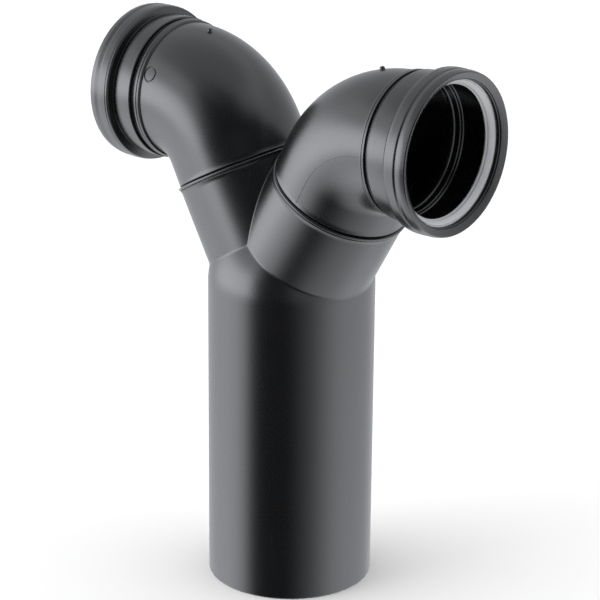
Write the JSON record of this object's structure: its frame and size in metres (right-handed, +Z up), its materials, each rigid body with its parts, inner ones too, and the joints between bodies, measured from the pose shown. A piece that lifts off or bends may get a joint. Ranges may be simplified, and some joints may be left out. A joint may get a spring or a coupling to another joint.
{
  "type": "double connection bend",
  "caption": "Upright pipe leg with a domed top that splits into two bends, each ending in a flanged socket with a lip seal, facing opposite ways.",
  "frame": {"origin": "centre of the leg's cut end, on the surface that the fitting stands on", "axes": "+Z up along the leg, X through both sockets, +X towards the right one"},
  "size_m": [0.2668, 0.1098, 0.3692],
  "materials": {
    "polyethylene": "black moulded polyethylene with a satin sheen",
    "seal_rubber": "smooth black rubber, lightly lubricated"
  },
  "bodies": {
    "root": {"branch_body": "polyethylene", "bend_left": "polyethylene", "bend_right": "polyethylene", "seal_left": "seal_rubber", "seal_right": "seal_rubber"}
  },
  "joints": []
}
